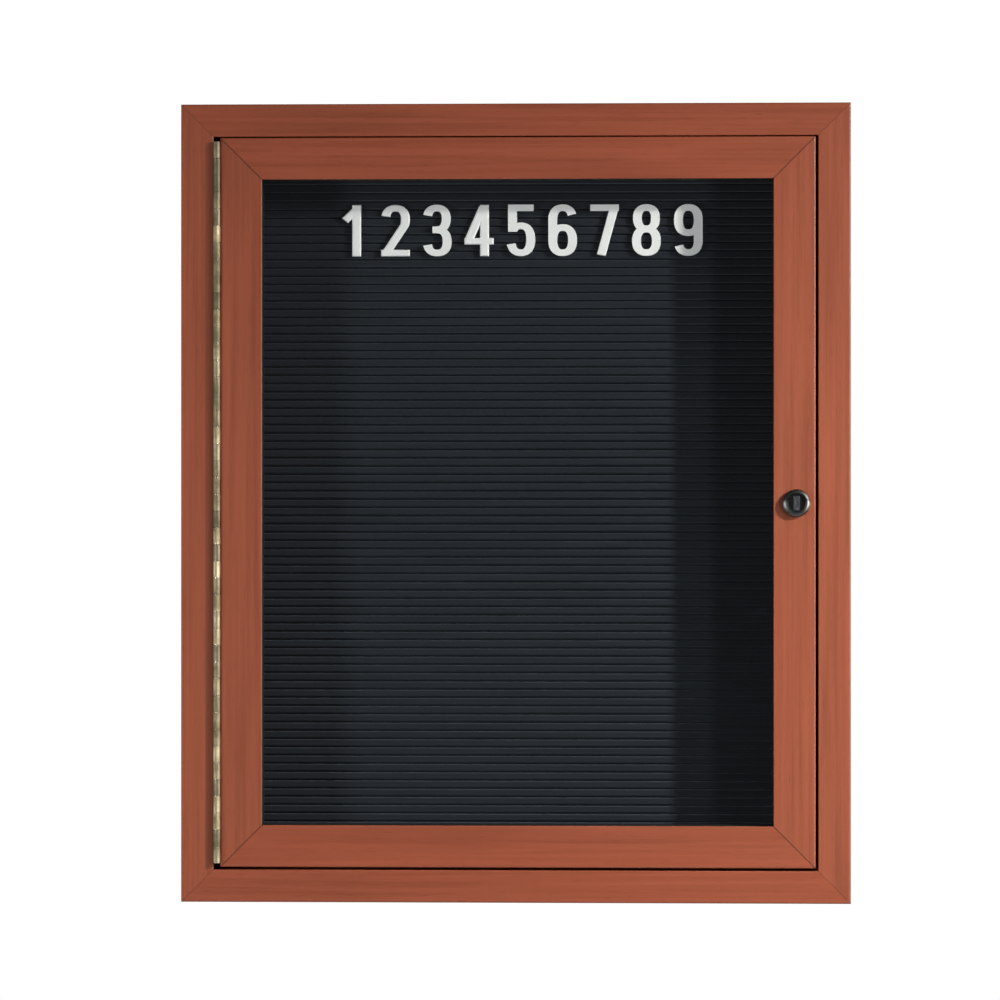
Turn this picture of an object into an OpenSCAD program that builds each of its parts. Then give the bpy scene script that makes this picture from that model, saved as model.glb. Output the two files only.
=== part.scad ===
// Enclosed directory board: a shallow wall cabinet of mitred aluminium extrusions with a hinged, glazed,
// lockable door over a grooved letter panel.
// X is to the right, Y runs from the front to the wall, Z is up. The origin is the centre of the cabinet's
// back, in the plane of the wall.

/* [Cabinet] */
// Overall width
cab_w = 508; // [400:1:900]
// Overall height
cab_h = 606; // [450:1:1000]
// Depth from the wall to the frame's face
cab_d = 57; // [55:0.5:75]
// Width of the frame's face
frame_face_w = 24.6; // [24:0.1:34]
// Wall of the frame's extrusion
frame_wall = 1.8; // [1.4:0.1:2]
// Width of the lip that the door closes against
stop_lip_w = 10; // [9.4:0.1:11]
// Wall of the web that closes the frame's key channel
key_web_t = 1.6; // [1.2:0.1:2]
// Depth of the frame's key channel
key_channel_d = 4.8; // [4.6:0.1:5.5]
// Rounding of the frame's outer front edge
frame_edge_r = 1.3; // [0.6:0.1:1.6]

/* [Frame corners] */
// Thickness of a corner key
key_t = 3; // [2:0.1:3.6]
// Length of a corner key's leg
key_leg = 55; // [50:1:80]
// Distance of a set screw from the end of the key's leg
set_screw_end = 13; // [8:1:20]
// Diameter of a set screw
set_screw_d = 4; // [3:0.5:5]
// Clearance round a set screw in the key channel's web, on the radius
set_screw_access = 0.6; // [0.4:0.1:1]

/* [Back] */
// Thickness of the back panel
back_t = 3; // [2:0.1:4]
// Depth of the screw slot between the back panel and the letter panel
screw_slot_d = 5; // [4.5:0.1:7]
// Width of the screw slot
screw_slot_w = 2.8; // [2.4:0.1:3.4]
// Thickness of the ribs beside the screw slot
slot_rib_t = 1.4; // [1:0.1:1.8]
// Number of back screws in each upright rail
back_screws_tall = 5; // [3:1:9]
// Number of back screws in each level rail
back_screws_wide = 4; // [2:1:8]
// Diameter of a wall-mounting hole
mount_hole_d = 6; // [4.5:0.1:8]
// Diameter of the access hole in front of each wall-mounting hole
access_hole_d = 12; // [10:0.5:13]
// Diameter of a back screw
back_screw_d = 2.6; // [2:0.1:3]
// Diameter of a back screw's head
back_screw_head_d = 5.4; // [4.6:0.1:5.8]
// Distance of the end screws in each row from the cabinet's corner
back_screw_end = 74; // [60:1:90]

/* [Letter panel] */
// Thickness of the letter panel
panel_t = 9.5; // [8:0.1:12]
// Pitch of the grooves
groove_pitch = 6.35; // [5:0.05:8]
// Width of a groove
groove_w = 1.6; // [1.4:0.1:2.4]
// Depth of a groove
groove_d = 5; // [4:0.1:6]
// Bevel along both edges of each land
land_bevel = 0.6; // [0.3:0.05:0.9]
// Width of the flange that holds the panel's edge from the front
panel_flange_w = 8.2; // [5:0.1:12]

/* [Door] */
// Width of a door member's face
member_w = 31.6; // [31.2:0.1:40]
// Thickness of the door
door_t = 19.5; // [18:0.1:22]
// Wall of the door's extrusion
door_wall = 1.5; // [1.2:0.1:1.8]
// How far the door's face stands in front of the frame's
door_proud = 0.6; // [0.5:0.1:3]
// Gap between door and frame on the lock side
lock_gap = 2.2; // [1.6:0.1:4]
// Gap between door and frame at the top
top_gap = 1; // [0.8:0.1:4]
// Gap between door and frame at the bottom
bottom_gap = 2.2; // [0.8:0.1:4]
// Rounding of the door's front edges
door_edge_r = 1; // [0.5:0.1:1.4]
// Thickness of the door's corner keys
door_key_t = 5.9; // [4:0.1:7]
// Length of a door key's leg
door_key_leg = 45; // [40:1:55]
// Diameter of a door key's screw
key_screw_d = 4; // [3:0.1:4.4]
// Diameter of the head of a door key's screw
key_screw_head_d = 7; // [6:0.1:7.4]
// Length of a door key's screw
key_screw_len = 6.4; // [5:0.1:7]
// Distance of a door key's screw from the end of its leg
key_screw_end = 8; // [6:0.5:12]
// Pile height of the seal on the stop lip
seal_t = 1.9; // [1.5:0.1:3]
// Width of the seal
seal_w = 5; // [4:0.1:6]

/* [Glazing] */
// Thickness of the pane
pane_t = 3.2; // [3:0.1:4]
// Depth of the glazing groove
glazing_d = 6.2; // [5.5:0.1:7]
// Wall of the glazing gasket
gasket_t = 0.75; // [0.6:0.05:0.9]
// Front wall of the glazing groove
glazing_front = 1.8; // [1.5:0.1:2]

/* [Hinge] */
// Diameter of the hinge's barrel
knuckle_d = 5.2; // [4.6:0.1:5.8]
// Length that one knuckle comes near to, with its gap
knuckle_pitch = 12.7; // [10:0.1:25.4]
// Distance from the door's corner to the hinge's end
hinge_end = 2.85; // [2:0.05:6]
// Gap between two knuckles
knuckle_gap = 0.3; // [0.2:0.05:0.5]
// Thickness of the leaves
leaf_t = 1.1; // [0.9:0.05:1.2]
// Width of a leaf from the pin's axis
leaf_w = 18; // [17:0.1:19]
// Diameter of the hinge pin
pin_d = 2.9; // [2:0.1:3]
// Diameter of the hinge screws
hinge_screw_d = 2.9; // [2.4:0.1:3.1]
// Diameter of the hinge screws' heads
hinge_screw_head_d = 4.5; // [4.2:0.1:4.8]
// Length of the hinge screws
hinge_screw_len = 6.5; // [5:0.5:8]
// Screws in the fixed leaf
fixed_leaf_screws = 9; // [5:1:13]
// Distance of the fixed leaf's end screws from the hinge's ends
fixed_leaf_screw_end = 33; // [20:1:50]
// Screws in the door's leaf
door_leaf_screws = 8; // [4:1:12]
// Distance of the door leaf's end screws from the hinge's ends
door_leaf_screw_end = 63; // [60:1:90]

/* [Lock] */
// Height of the lock above the cabinet's middle
lock_z = 0; // [-60:1:60]
// Distance of the lock from the door's edge
lock_inset = 14.3; // [13:0.1:14.4]
// Diameter of the bezel
bezel_d = 21; // [20:0.1:23]
// How far the bezel stands out of the door
bezel_h = 4.2; // [3.4:0.1:5]
// Diameter of the lock's threaded housing
housing_d = 18; // [17:0.1:18.4]
// Distance across the housing's two flats
housing_flats = 16.4; // [16:0.1:17]
// Diameter of the plug's head
plug_head_d = 12.8; // [12.6:0.1:13.8]
// Diameter of the plug's body
plug_d = 11.8; // [11:0.1:12.2]
// Running clearance of the plug, on the radius
plug_play = 0.05; // [0.02:0.01:0.1]
// Width of the keyway
keyway_w = 1.8; // [1.4:0.1:2.2]
// Height of the keyway
keyway_h = 8.4; // [7:0.1:9]
// Distance across the flats of the lock's nut
nut_flats = 22; // [21:0.1:22.4]
// Thickness of the lock's nut
nut_t = 4; // [3:0.1:4.2]
// Length of the cam from the lock's axis to its tip
cam_len = 26; // [23:0.5:30]
// Width of the cam's arm
cam_w = 8; // [6:0.1:9]
// Thickness of the cam
cam_t = 2; // [1.5:0.1:2.5]

/* [Hidden] */
$fn = 48;

// Clearances
mitre_gap = 0.06;
seal_gap = 0.4;
panel_play = 0.3;
edge_play = 0.5;
seat_play = 0.05;
key_play = 0.15;
cam_gap = 0.3;
notch_play = 1.1;

// Planes across the depth, from the wall to the front
letter_rear = back_t + screw_slot_d;
letter_front = letter_rear + panel_t;
door_front = cab_d + door_proud;
door_rear = door_front - door_t;
lip_front = door_rear - seal_gap - seal_t;
lip_rear = lip_front - frame_wall;
channel_front = cab_d - frame_wall;
web_front = channel_front - key_channel_d;

// Barrel of the hinge, half in the gap that it fills
knuckle_r = knuckle_d / 2;
leaf_step = 0.1;
hinge_gap = 2 * (knuckle_r + leaf_step);
bore_r = pin_d / 2 + seat_play;
leaf_start = knuckle_r + 0.4;
seam = 0.15;
leaf_screw_depth = leaf_w - 4;

// Opening of the frame and the door in it
open_x = cab_w / 2 - frame_face_w;
open_z = cab_h / 2 - frame_face_w;
door_x0 = -open_x + hinge_gap;
door_x1 = open_x - lock_gap;
door_z0 = -open_z + bottom_gap;
door_z1 = open_z - top_gap;
door_w = door_x1 - door_x0;
door_h = door_z1 - door_z0;
door_mid_x = (door_x0 + door_x1) / 2;
door_mid_z = (door_z0 + door_z1) / 2;
hinge_x = -open_x + hinge_gap / 2;

// Continuous hinge: an odd number of knuckles, so that the fixed leaf has both ends
hinge_len = door_h - 2 * hinge_end;
knuckle_count = 2 * round((hinge_len / knuckle_pitch - 1) / 2) + 1;
knuckle_step = hinge_len / knuckle_count;

// Wall-mounting holes, in the strip that the closed door's members hide
mount_margin = 6.4;
mount_inset = stop_lip_w + access_hole_d / 2 + mount_margin;
mount_x = open_x - mount_inset;
mount_z = open_z - mount_inset;

// Lock
lock_x = door_x1 - lock_inset;
housing_rear = door_rear - nut_t;
cam_front = lip_rear - cam_gap;
cam_hub_r = 7.5;
cam_turn = 90;
tail_side = 6.4;
tail_play = 0.05;
cam_screw_d = 4;
head_depth = 5;
head_recess = 0.8;
keyway_depth = 14.2;
shutter_w = 4.8;
shutter_h = 11;
shutter_t = 0.6;
shutter_play = 0.1;
stop_lug_w = 1.6;
stop_depth = 1.6;
stop_play = 0.3;
stop_lug_r = plug_d / 2 + stop_play;
notch_half = nut_flats / sqrt(3) + 1.8;
notch_x = lock_x + nut_flats / 2 + notch_play;

// Screw slot of the back panel, measured inward from the frame's outer edge
slot_u = 8;
slot_front_t = 1.6;
back_screw_len = back_t + screw_slot_d - slot_front_t - 0.4;

// Cuts the corner at the origin of a profile to the radius r, the material lying towards +X and +Y
module corner_cut(r) {
    overlap = 0.02;
    difference() {
        translate([-1, -1])
            square(1 + r);
        translate([r, r])
            circle(r + overlap);
    }
}

// Section of a frame rail: X inward from the cabinet's outer edge, Y from the wall to the front
module frame_section() {
    slot_in = slot_u - screw_slot_w / 2 - slot_rib_t;
    slot_out = slot_u + screw_slot_w / 2;
    rib_end = slot_out + 2 * slot_rib_t + 1.8;
    difference() {
        union() {
            // Outer wall, face, and return down to the stop lip
            square([frame_wall, cab_d]);
            translate([0, channel_front])
                square([frame_face_w, frame_wall]);
            translate([frame_face_w - frame_wall, lip_rear])
                square([frame_wall, cab_d - lip_rear]);
            translate([frame_face_w - frame_wall, lip_rear])
                square([frame_wall + stop_lip_w, frame_wall]);
            // Web of the key channel
            translate([0, web_front - key_web_t])
                square([frame_face_w, key_web_t]);
            // Flange in front of the letter panel's edge
            translate([0, letter_front + panel_play])
                square([frame_wall + panel_flange_w, frame_wall]);
            // Seat of the letter panel, with the screw slot's ribs behind it
            translate([0, letter_rear - slot_front_t])
                square([rib_end, slot_front_t]);
            for (u = [slot_in, slot_out, rib_end - slot_rib_t])
                translate([u, back_t])
                    square([slot_rib_t, screw_slot_d]);
        }
        translate([0, cab_d])
            mirror([0, 1])
                corner_cut(frame_edge_r);
        translate([frame_face_w, cab_d])
            rotate(180)
                corner_cut(frame_edge_r / 2);
    }
}

// Section of a door member: X inward from the door's edge, Y from the door's face to its back
module door_section() {
    groove_w = pane_t + 2 * gasket_t + 2 * seat_play;
    groove_x = member_w - glazing_d;
    back_wall_y = glazing_front + groove_w + door_wall;
    difference() {
        square([member_w, door_t]);
        // Main hollow, for keys, screws and lock
        translate([door_wall, door_wall])
            square([groove_x - 2 * door_wall, door_t - 2 * door_wall]);
        // Glazing groove, and the small hollow behind it
        translate([groove_x, glazing_front])
            square([glazing_d + 1, groove_w]);
        translate([groove_x, back_wall_y])
            square([glazing_d - door_wall, door_t - door_wall - back_wall_y]);
        corner_cut(door_edge_r);
        translate([member_w, 0])
            mirror([1, 0])
                corner_cut(door_edge_r / 2);
    }
}

// Channel strip round the pane's edge, in the door section's own place
module gasket_section() {
    groove_x = member_w - glazing_d;
    strip_w = glazing_d - 0.4;
    translate([groove_x + key_play, glazing_front + seat_play])
        difference() {
            square([strip_w - key_play, pane_t + 2 * gasket_t]);
            translate([gasket_t, gasket_t])
                square([strip_w, pane_t]);
        }
}

// Seal on the stop lip, in the frame section's own place
module seal_section() {
    translate([frame_face_w + stop_lip_w - 1 - seal_w, lip_front])
        square([seal_w, seal_t]);
}

// Straight bar of a section, mitred at both ends: X inward, Z along the bar
module mitred_bar(length, reach) {
    half = length / 2 - mitre_gap;
    intersection() {
        linear_extrude(height = length, center = true)
            children();
        rotate([90, 0, 0])
            linear_extrude(height = 4 * cab_d, center = true)
                polygon([[-1, -half - 1], [-1, half + 1], [reach, half - reach], [reach, reach - half]]);
    }
}

// Puts a bar, X inward from the edge, at one side of a rectangle w by h
module at_side(side, w, h) {
    if (side == "left")
        translate([-w / 2, 0, 0])
            children();
    if (side == "right")
        translate([w / 2, 0, 0])
            mirror([1, 0, 0])
                children();
    if (side == "top")
        translate([0, 0, h / 2])
            rotate([0, 90, 0])
                children();
    if (side == "bottom")
        translate([0, 0, -h / 2])
            rotate([0, -90, 0])
                children();
}

function side_length(side, w, h) = side == "left" || side == "right" ? h : w;

// One side of the cabinet's frame, made of the given section
module cabinet_side(side) {
    at_side(side, cab_w, cab_h)
        mirror([0, 1, 0])
            mitred_bar(side_length(side, cab_w, cab_h), frame_face_w + stop_lip_w + 5)
                children();
}

// One side of the door, made of the given section
module door_side(side) {
    translate([door_mid_x, -door_front, door_mid_z])
        at_side(side, door_w, door_h)
            mitred_bar(side_length(side, door_w, door_h), member_w + 5)
                children();
}

// Round bar along the depth, from one height above the wall to another
module depth_rod(x, z, from, to, d) {
    translate([x, -from, z])
        rotate([90, 0, 0])
            cylinder(h = to - from, d = d);
}

// Countersunk screw, its head's face at the origin and its tip towards +Z
module flat_screw(d, head_d, length) {
    cone_h = (head_d - d) / 2;
    rotate_extrude()
        polygon([[0, 0], [head_d / 2, 0], [d / 2, cone_h], [d / 2, length - d / 4], [d / 4, length], [0, length]]);
}

// Recess and hole for the same screw, open above the head
module flat_screw_hole(d, head_d, length) {
    cone_h = (head_d - d) / 2;
    r = seat_play;
    rotate_extrude()
        polygon([
            [0, -1], [head_d / 2 + r, -1], [head_d / 2 + r, 0],
            [d / 2 + r, cone_h], [d / 2 + r, length + 1], [0, length + 1]
        ]);
}

// Set screws of the frame's corner keys, one in each leg
module at_frame_key_screws() {
    along = key_leg - set_screw_end;
    across = frame_face_w / 2;
    for (sx = [-1, 1], sz = [-1, 1]) {
        translate([sx * (cab_w / 2 - along), 0, sz * (cab_h / 2 - across)])
            children();
        translate([sx * (cab_w / 2 - across), 0, sz * (cab_h / 2 - along)])
            children();
    }
}

module frame_rail(side) {
    color("#9c5138")
        difference() {
            cabinet_side(side)
                frame_section();
            at_frame_key_screws()
                depth_rod(0, 0, web_front - key_web_t - 1, web_front + 1, set_screw_d + 2 * set_screw_access);
            if (side == "left")
                at_leaf_screws(fixed_leaf_screws, fixed_leaf_screw_end)
                    translate([hinge_x - knuckle_r - leaf_step + leaf_t, 0, 0])
                        rotate([0, -90, 0])
                            cylinder(h = leaf_t + frame_wall + 1, d = hinge_screw_d + 2 * seat_play);
            // The lock's nut passes the lip here
            if (side == "right")
                translate([0, -lip_front - 1, lock_z - notch_half])
                    cube([notch_x, frame_wall + 2, 2 * notch_half]);
        }
}

module frame_top() {
    frame_rail("top");
}

module frame_bottom() {
    frame_rail("bottom");
}

module frame_left() {
    frame_rail("left");
}

module frame_right() {
    frame_rail("right");
}

// L of two legs in the plane of the wall, its outer corner at the origin, legs towards +X and +Z
module corner_angle(leg, width, thickness) {
    rotate([90, 0, 0])
        linear_extrude(height = thickness)
            polygon([[0, 0], [leg, 0], [leg, width], [width, width], [width, leg], [0, leg]]);
}

// Places a piece at all four corners of a rectangle w by h, turned inward
module at_corners(w, h) {
    for (mx = [0, 1], mz = [0, 1])
        mirror([mx, 0, 0])
            mirror([0, 0, mz])
                translate([-w / 2, 0, -h / 2])
                    children();
}

module frame_corner_keys() {
    side = frame_wall + key_play;
    color("#b9bcc0")
        difference() {
            at_corners(cab_w, cab_h)
                translate([side, -web_front - seat_play, side])
                    corner_angle(key_leg - side, frame_face_w - 2 * side, key_t);
            at_frame_key_screws()
                depth_rod(0, 0, web_front - 1, web_front + key_t + 2, set_screw_d);
        }
}

module frame_key_screws() {
    tip = channel_front - seat_play;
    head = web_front - key_web_t / 2;
    socket_d = set_screw_d / 2;
    color("#4a4c50")
        at_frame_key_screws()
            difference() {
                depth_rod(0, 0, head, tip, set_screw_d - 2 * seat_play);
                translate([0, -head + 1, 0])
                    rotate([90, 30, 0])
                        cylinder(h = 3, d = socket_d, $fn = 6);
            }
}

// Screws of the back panel, along the slots of all four rails
module at_back_screws() {
    wide = cab_w / 2 - back_screw_end;
    tall = cab_h / 2 - back_screw_end;
    for (s = [-1, 1]) {
        for (i = [0 : back_screws_wide - 1])
            translate([wide * (2 * i / (back_screws_wide - 1) - 1), 0, s * (cab_h / 2 - slot_u)])
                children();
        for (i = [0 : back_screws_tall - 1])
            translate([s * (cab_w / 2 - slot_u), 0, tall * (2 * i / (back_screws_tall - 1) - 1)])
                children();
    }
}

module back_panel() {
    w = cab_w - 2 * (frame_wall + panel_play);
    h = cab_h - 2 * (frame_wall + panel_play);
    color("#8f8a80")
        difference() {
            translate([-w / 2, -back_t, -h / 2])
                cube([w, back_t, h]);
            for (sx = [-1, 1], sz = [-1, 1])
                depth_rod(sx * mount_x, sz * mount_z, -1, back_t + 1, mount_hole_d);
            at_back_screws()
                rotate([90, 0, 0])
                    flat_screw_hole(back_screw_d, back_screw_head_d, back_screw_len);
        }
}

module back_panel_screws() {
    color("#6d6f73")
        at_back_screws()
            rotate([90, 0, 0])
                flat_screw(back_screw_d, back_screw_head_d, back_screw_len);
}

// Outline of the grooved panel: X from its back to its face, Y up
function groove_outline(c) = [
    [panel_t, c - groove_w / 2 - land_bevel],
    [panel_t - land_bevel, c - groove_w / 2],
    [panel_t - groove_d, c - groove_w / 2],
    [panel_t - groove_d, c + groove_w / 2],
    [panel_t - land_bevel, c + groove_w / 2],
    [panel_t, c + groove_w / 2 + land_bevel]
];

module letter_panel() {
    w = cab_w - 2 * (frame_wall + edge_play);
    h = cab_h - 2 * (frame_wall + edge_play);
    count = floor((h - groove_pitch / 2) / groove_pitch);
    outline = concat(
        [[0, -h / 2], [panel_t, -h / 2]],
        [for (i = [0 : count - 1], p = groove_outline((i - (count - 1) / 2) * groove_pitch)) p],
        [[panel_t, h / 2], [0, h / 2]]
    );
    color("#14191d")
        difference() {
            translate([-w / 2, -letter_rear, 0])
                rotate([90, 0, 90])
                    mirror([1, 0, 0])
                        linear_extrude(height = w)
                            polygon(outline);
            for (sx = [-1, 1], sz = [-1, 1])
                depth_rod(sx * mount_x, sz * mount_z, letter_rear - 1, letter_front + 1, access_hole_d);
        }
}

module door_seal() {
    color("#2b2d2f")
        difference() {
            for (side = ["left", "right", "top", "bottom"])
                cabinet_side(side)
                    seal_section();
            // Gap where the lock's nut passes
            translate([notch_x - seal_w - stop_lip_w, -door_rear - 1, lock_z - notch_half])
                cube([seal_w + 2 * stop_lip_w, seal_t + 3, 2 * notch_half]);
        }
}

// Knuckles of one leaf: every second one, starting with the first or the second
module at_knuckles(first) {
    for (i = [first : 2 : knuckle_count - 1])
        translate([hinge_x, -door_front, door_mid_z + (i - (knuckle_count - 1) / 2) * knuckle_step])
            children();
}

// Places hinge screws at even steps, as far from the hinge's ends as given
module at_leaf_screws(count, from_end) {
    half = hinge_len / 2 - from_end;
    for (i = [0 : count - 1])
        translate([0, -door_front + leaf_screw_depth, door_mid_z + half * (2 * i / (count - 1) - 1)])
            children();
}

// One leaf of the continuous hinge, on the +X side of the pin: rolled knuckles on a plate
module hinge_leaf(first) {
    face = knuckle_r + leaf_step;
    union() {
        translate([hinge_x + face - leaf_t, -door_front + leaf_start, door_mid_z - hinge_len / 2])
            cube([leaf_t, leaf_w - leaf_start, hinge_len]);
        at_knuckles(first)
            linear_extrude(height = knuckle_step - knuckle_gap, center = true)
                difference() {
                    union() {
                        circle(knuckle_r);
                        translate([face - leaf_t, 0])
                            square([leaf_t, leaf_start + 1]);
                    }
                    circle(bore_r);
                    // Seam where the roll closes against the plate
                    translate([face - leaf_t - seam, 0])
                        square([seam, knuckle_r + 1]);
                }
    }
}

module hinge_fixed_leaf() {
    color("#a59a7c")
        difference() {
            translate([2 * hinge_x, 0, 0])
                mirror([1, 0, 0])
                    hinge_leaf(0);
            at_leaf_screws(fixed_leaf_screws, fixed_leaf_screw_end)
                translate([hinge_x - knuckle_r - leaf_step + leaf_t, 0, 0])
                    rotate([0, -90, 0])
                        flat_screw_hole(hinge_screw_d, hinge_screw_head_d, leaf_t);
        }
}

module hinge_door_leaf() {
    color("#aca183")
        difference() {
            hinge_leaf(1);
            at_leaf_screws(door_leaf_screws, door_leaf_screw_end)
                translate([hinge_x + knuckle_r + leaf_step - leaf_t, 0, 0])
                    rotate([0, 90, 0])
                        flat_screw_hole(hinge_screw_d, hinge_screw_head_d, leaf_t);
        }
}

module hinge_pin() {
    color("#c9c4b2")
        translate([hinge_x, -door_front, door_mid_z])
            cylinder(h = hinge_len, d = pin_d, center = true);
}

module hinge_fixed_screws() {
    color("#b5ad93")
        at_leaf_screws(fixed_leaf_screws, fixed_leaf_screw_end)
            translate([hinge_x - knuckle_r - leaf_step + leaf_t, 0, 0])
                rotate([0, -90, 0])
                    flat_screw(hinge_screw_d, hinge_screw_head_d, hinge_screw_len);
}

module hinge_door_screws() {
    color("#b5ad93")
        at_leaf_screws(door_leaf_screws, door_leaf_screw_end)
            translate([hinge_x + knuckle_r + leaf_step - leaf_t, 0, 0])
                rotate([0, 90, 0])
                    flat_screw(hinge_screw_d, hinge_screw_head_d, hinge_screw_len);
}

// Screws of the door's corner keys, driven from the door's back, one in each leg
module at_door_key_screws() {
    along = door_key_leg - key_screw_end;
    across = (member_w - glazing_d) / 2;
    translate([door_mid_x, -door_rear, door_mid_z])
        for (sx = [-1, 1], sz = [-1, 1]) {
            translate([sx * (door_w / 2 - along), 0, sz * (door_h / 2 - across)])
                children();
            translate([sx * (door_w / 2 - across), 0, sz * (door_h / 2 - along)])
                children();
        }
}

// Round rod with two flats, upright as on the lock's housing
module two_flat_rod(d, flats, length) {
    linear_extrude(height = length)
        intersection() {
            circle(d = d);
            square([flats, 2 * d], center = true);
        }
}

module door_member(side) {
    color("#a5573c")
        difference() {
            door_side(side)
                door_section();
            at_door_key_screws()
                rotate([90, 0, 0])
                    flat_screw_hole(key_screw_d, key_screw_head_d, door_wall);
            if (side == "left")
                at_leaf_screws(door_leaf_screws, door_leaf_screw_end)
                    translate([door_x0 - 1, 0, 0])
                        rotate([0, 90, 0])
                            cylinder(h = door_wall + 2, d = hinge_screw_d + 2 * seat_play);
            if (side == "right")
                translate([lock_x, -door_rear + 1, lock_z])
                    rotate([90, 0, 0])
                        two_flat_rod(housing_d + 0.2, housing_flats + 0.2, door_t + 2);
        }
}

module door_top() {
    door_member("top");
}

module door_bottom() {
    door_member("bottom");
}

module door_left() {
    door_member("left");
}

module door_right() {
    door_member("right");
}

module door_corner_keys() {
    side = door_wall + key_play;
    color("#a8abaf")
        difference() {
            translate([door_mid_x, -door_rear - door_wall - seat_play, door_mid_z])
                at_corners(door_w, door_h)
                    translate([side, 0, side])
                        corner_angle(door_key_leg - side, member_w - glazing_d - 2 * side, door_key_t);
            at_door_key_screws()
                rotate([90, 0, 0])
                    flat_screw_hole(key_screw_d, key_screw_head_d, key_screw_len);
        }
}

module door_key_screws() {
    color("#5c5e62")
        at_door_key_screws()
            rotate([90, 0, 0])
                flat_screw(key_screw_d, key_screw_head_d, key_screw_len);
}

module glass_pane() {
    edge = member_w - glazing_d + key_play + gasket_t + 0.2;
    y = door_front - glazing_front - seat_play - gasket_t;
    color("#cfe0e4", 0.35)
        translate([door_x0 + edge, -y, door_z0 + edge])
            cube([door_w - 2 * edge, pane_t, door_h - 2 * edge]);
}

module glazing_gasket() {
    color("#1c1d1f")
        for (side = ["left", "right", "top", "bottom"])
            door_side(side)
                gasket_section();
}

// Sector that the cam's stop lug sweeps, with its play, as seen from the front
module stop_sector() {
    reach = housing_d;
    spare = asin((stop_lug_w / 2 + stop_play) / stop_lug_r);
    function at(a, r) = [-r * sin(a), r * cos(a)];
    polygon([[0, 0], at(-spare, reach), at(cam_turn / 2, 2 * reach), at(cam_turn + spare, reach)]);
}

// Bezel and threaded barrel of the lock, in one piece, drilled in two steps for the plug and notched for the
// cam's stop lug
module lock_housing() {
    rim_r = bezel_d / 2;
    dome_r = 3.3;
    rim_h = bezel_h - dome_r + 0.1;
    color("#c8cacc")
        translate([lock_x, -housing_rear, lock_z])
            rotate([90, 0, 0])
                difference() {
                    union() {
                        two_flat_rod(housing_d, housing_flats, door_front - housing_rear);
                        translate([0, 0, door_front - housing_rear])
                            rotate_extrude()
                                intersection() {
                                    square([rim_r, bezel_h]);
                                    union() {
                                        square([rim_r, rim_h]);
                                        square([rim_r - dome_r + 0.1, bezel_h]);
                                        translate([rim_r - dome_r + 0.1, rim_h])
                                            circle(dome_r);
                                    }
                                }
                    }
                    translate([0, 0, -1])
                        cylinder(h = door_front - housing_rear + bezel_h + 2, d = plug_d + 2 * plug_play);
                    translate([0, 0, door_front - housing_rear + bezel_h - head_depth])
                        cylinder(h = head_depth + 1, d = plug_head_d + 2 * plug_play);
                    translate([0, 0, -1])
                        linear_extrude(height = 1 + stop_depth)
                            stop_sector();
                }
}

module lock_nut() {
    color("#b4b6b9")
        translate([lock_x, -door_rear, lock_z])
            rotate([-90, 30, 0])
                difference() {
                    intersection() {
                        cylinder(h = nut_t, d = nut_flats * 2 / sqrt(3), $fn = 6);
                        // Corners turned off on the outer face
                        cylinder(h = nut_t, r1 = nut_flats / 2 + 3.4, r2 = nut_flats / 2 + 0.4);
                    }
                    translate([0, 0, -1])
                        cylinder(h = nut_t + 2, d = housing_d + 0.1);
                }
}

// Plug: head in the bezel, body in the barrel, square tail for the cam
module lock_plug() {
    body_len = door_front + bezel_h - head_depth - cam_front;
    head_len = head_depth - head_recess;
    color("#17181a")
        translate([lock_x, -cam_front, lock_z])
            rotate([90, 0, 0])
                difference() {
                    union() {
                        cylinder(h = body_len + 1, d = plug_d);
                        translate([0, 0, body_len + seat_play])
                            cylinder(h = head_len, d = plug_head_d);
                        translate([-tail_side / 2, -tail_side / 2, 0.1 - cam_t])
                            cube([tail_side, tail_side, cam_t]);
                    }
                    // Seat of the shutter and the keyway behind it
                    translate([0, 0, body_len + seat_play + head_len - shutter_t])
                        linear_extrude(height = 2)
                            square([shutter_w + 2 * shutter_play, shutter_h + 2 * shutter_play], center = true);
                    translate([0, 0, body_len + head_len - keyway_depth])
                        linear_extrude(height = keyway_depth + 1)
                            square([keyway_w, keyway_h], center = true);
                    translate([0, 0, -cam_t - 1])
                        cylinder(h = 9 + cam_t, d = cam_screw_d);
                }
}

// Dust shutter, closed over the keyway and flush in the plug's face
module lock_shutter() {
    face = door_front + bezel_h - head_recess + seat_play;
    color("#77797c")
        translate([lock_x, -face + shutter_t, lock_z])
            rotate([90, 0, 0])
                linear_extrude(height = shutter_t)
                    square([shutter_w, shutter_h], center = true);
}

// Cam: round hub with a square hole, a stop lug, and an arm that points down while the door is unlatched
module lock_cam() {
    overlap = 0.1;
    color("#c2c3c0")
        translate([lock_x, -cam_front + cam_t, lock_z])
            rotate([90, 0, 0])
                union() {
                    linear_extrude(height = cam_t)
                        difference() {
                            union() {
                                circle(cam_hub_r);
                                intersection() {
                                    circle(cam_len);
                                    translate([-cam_w / 2, -cam_len - 1])
                                        square([cam_w, cam_len + 1]);
                                }
                            }
                            square(tail_side + 2 * tail_play, center = true);
                        }
                    translate([-stop_lug_w / 2, stop_lug_r, cam_t - overlap])
                        cube([stop_lug_w, cam_hub_r - overlap - stop_lug_r, stop_depth + overlap]);
                }
}

module lock_cam_screw() {
    head_d = 8.4;
    head_h = 2.4;
    color("#8c8e92")
        translate([lock_x, -cam_front + cam_t, lock_z])
            rotate([-90, 0, 0])
                difference() {
                    union() {
                        cylinder(h = head_h, d1 = head_d, d2 = head_d - 1.4);
                        translate([0, 0, -cam_t - 6])
                            cylinder(h = cam_t + 7, d = cam_screw_d - 2 * seat_play);
                    }
                    for (a = [0, 90])
                        translate([0, 0, head_h])
                            rotate(a)
                                cube([4.6, 0.9, 2.4], center = true);
                }
}

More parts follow.
